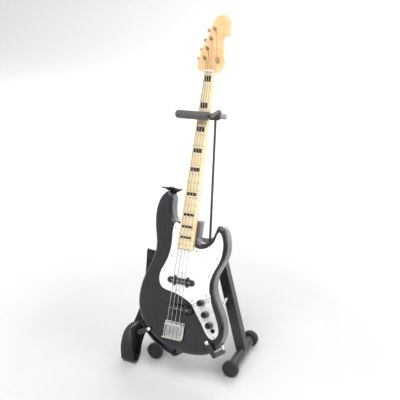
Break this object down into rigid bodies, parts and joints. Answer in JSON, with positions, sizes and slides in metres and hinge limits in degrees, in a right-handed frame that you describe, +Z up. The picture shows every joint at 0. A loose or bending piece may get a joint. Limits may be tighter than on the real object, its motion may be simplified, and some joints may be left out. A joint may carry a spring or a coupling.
{
  "type": "miniature bass guitar on stand",
  "caption": "Miniature bass guitar with offset waist, strap and bolt-on maple neck, resting on a folding A-frame stand with padded neck yoke.",
  "frame": {"origin": "on the floor, under the middle of the whole assembly", "axes": "+Z up; -Y towards the face of the guitar; +X to the right of a viewer facing it"},
  "size_m": [0.094, 0.1046, 0.2569],
  "materials": {
    "black_lacquer": "high gloss lacquer over wood, held as a solid",
    "maple": "gloss",
    "maple_board": "gloss",
    "fret_metal": "polished",
    "black_inlay": "gloss",
    "white_plastic": "gloss",
    "satin_plate": "satin",
    "small_chrome": "polished",
    "black_plastic": "satin",
    "bridge_chrome": "polished",
    "string_steel": "wound",
    "dark_steel": "satin",
    "strap_leather": "glossy",
    "black_paint": "satin",
    "black_rubber": "matte"
  },
  "bodies": {
    "stand": {"cradle_arm_left": "bridge_chrome", "cradle_arm_right": "bridge_chrome", "cradle_sleeve_left": "black_rubber", "cradle_sleeve_right": "black_rubber", "foot_ends_left": "black_rubber", "foot_ends_right": "black_rubber", "foot_tube_left": "black_paint", "foot_tube_right": "black_paint", "hub": "black_plastic", "hub_pins": "small_chrome", "leg_left": "black_paint", "leg_right": "black_paint", "post": "dark_steel", "yoke_clamp": "black_plastic", "yoke_rear_pad": "black_rubber", "yoke_end_cap": "bridge_chrome", "gate_pin": "small_chrome"},
    "gate": {"yoke_gate": "black_paint", "gate_pad": "black_rubber"},
    "thumb": {"thumb_screw": "black_plastic"},
    "key_1": {"tuner_key_1": "bridge_chrome"},
    "peg_1": {"tuner_post_1": "bridge_chrome"},
    "key_2": {"tuner_key_2": "bridge_chrome"},
    "peg_2": {"tuner_post_2": "bridge_chrome"},
    "key_3": {"tuner_key_3": "bridge_chrome"},
    "peg_3": {"tuner_post_3": "bridge_chrome"},
    "key_4": {"tuner_key_4": "bridge_chrome"},
    "peg_4": {"tuner_post_4": "bridge_chrome"},
    "knob_neck_volume_body": {"knob_neck_volume": "black_plastic"},
    "knob_bridge_volume_body": {"knob_bridge_volume": "black_plastic"},
    "knob_tone_body": {"knob_tone": "black_plastic"},
    "guitar": {"bridge_pickup": "black_plastic", "bridge_plate": "bridge_chrome", "bridge_saddles": "bridge_chrome", "control_plate": "satin_plate", "fingerboard": "maple_board", "frets": "fret_metal", "guitar_body": "black_lacquer", "inlay_blocks": "black_inlay", "knob_shafts": "small_chrome", "neck": "maple", "neck_pickup": "black_plastic", "neck_plate": "bridge_chrome", "neck_screws": "small_chrome", "nut": "white_plastic", "output_jack": "black_plastic", "pickguard": "white_plastic", "plate_screws": "small_chrome", "pole_pieces": "small_chrome", "saddle_screws": "small_chrome", "strap": "strap_leather", "strap_button_lower": "black_plastic", "strap_button_upper": "black_plastic", "string_1": "string_steel", "string_2": "string_steel", "string_3": "string_steel", "string_4": "string_steel", "string_tree": "bridge_chrome", "tuner_housings": "bridge_chrome"}
  },
  "joints": [
    {"name": "guitar_lift", "type": "slide", "parent": "stand", "child": "guitar", "axis": [0, 0.3955, 0.9184], "range_m": [0, 0.04]},
    {"name": "gate_swing", "type": "hinge", "parent": "stand", "child": "gate", "pos_m": [0.01103, 0.02972, 0.18988], "axis": [0, 0, 1], "range_deg": [0, 95]},
    {"name": "thumb_turn", "type": "hinge", "parent": "stand", "child": "thumb", "pos_m": [0.00848, 0.01876, 0.08708], "axis": [0, 1, 0], "range_deg": [0, 270]},
    {"name": "key_turn_1", "type": "hinge", "parent": "guitar", "child": "key_1", "pos_m": [-0.00352, 0.04952, 0.24553], "axis": [1, 0, 0], "continuous": true},
    {"name": "peg_turn_1", "type": "hinge", "parent": "guitar", "child": "peg_1", "pos_m": [0.00248, 0.04566, 0.24719], "axis": [0, -0.9184, 0.3955], "continuous": true},
    {"name": "key_turn_2", "type": "hinge", "parent": "guitar", "child": "key_2", "pos_m": [-0.00552, 0.04659, 0.23873], "axis": [1, 0, 0], "continuous": true},
    {"name": "peg_turn_2", "type": "hinge", "parent": "guitar", "child": "peg_2", "pos_m": [0.00048, 0.04274, 0.24039], "axis": [0, -0.9184, 0.3955], "continuous": true},
    {"name": "key_turn_3", "type": "hinge", "parent": "guitar", "child": "key_3", "pos_m": [-0.00732, 0.04375, 0.23212], "axis": [1, 0, 0], "continuous": true},
    {"name": "peg_turn_3", "type": "hinge", "parent": "guitar", "child": "peg_3", "pos_m": [-0.00132, 0.03989, 0.23378], "axis": [0, -0.9184, 0.3955], "continuous": true},
    {"name": "key_turn_4", "type": "hinge", "parent": "guitar", "child": "key_4", "pos_m": [-0.00852, 0.04098, 0.22569], "axis": [1, 0, 0], "continuous": true},
    {"name": "peg_turn_4", "type": "hinge", "parent": "guitar", "child": "peg_4", "pos_m": [-0.00252, 0.03712, 0.22735], "axis": [0, -0.9184, 0.3955], "continuous": true},
    {"name": "knob_neck_volume_turn", "type": "hinge", "parent": "guitar", "child": "knob_neck_volume_body", "pos_m": [0.02148, -0.03352, 0.06331], "axis": [0, -0.9184, 0.3955], "range_deg": [-145, 145]},
    {"name": "knob_bridge_volume_turn", "type": "hinge", "parent": "guitar", "child": "knob_bridge_volume_body", "pos_m": [0.02598, -0.03653, 0.05633], "axis": [0, -0.9184, 0.3955], "range_deg": [-145, 145]},
    {"name": "knob_tone_turn", "type": "hinge", "parent": "guitar", "child": "knob_tone_body", "pos_m": [0.03018, -0.0393, 0.0499], "axis": [0, -0.9184, 0.3955], "range_deg": [-145, 145]}
  ],
  "couplings": [
    {"joint": "peg_turn_1", "follows": "key_turn_1", "ratio": 0.05},
    {"joint": "peg_turn_2", "follows": "key_turn_2", "ratio": 0.05},
    {"joint": "peg_turn_3", "follows": "key_turn_3", "ratio": 0.05},
    {"joint": "peg_turn_4", "follows": "key_turn_4", "ratio": 0.05}
  ]
}
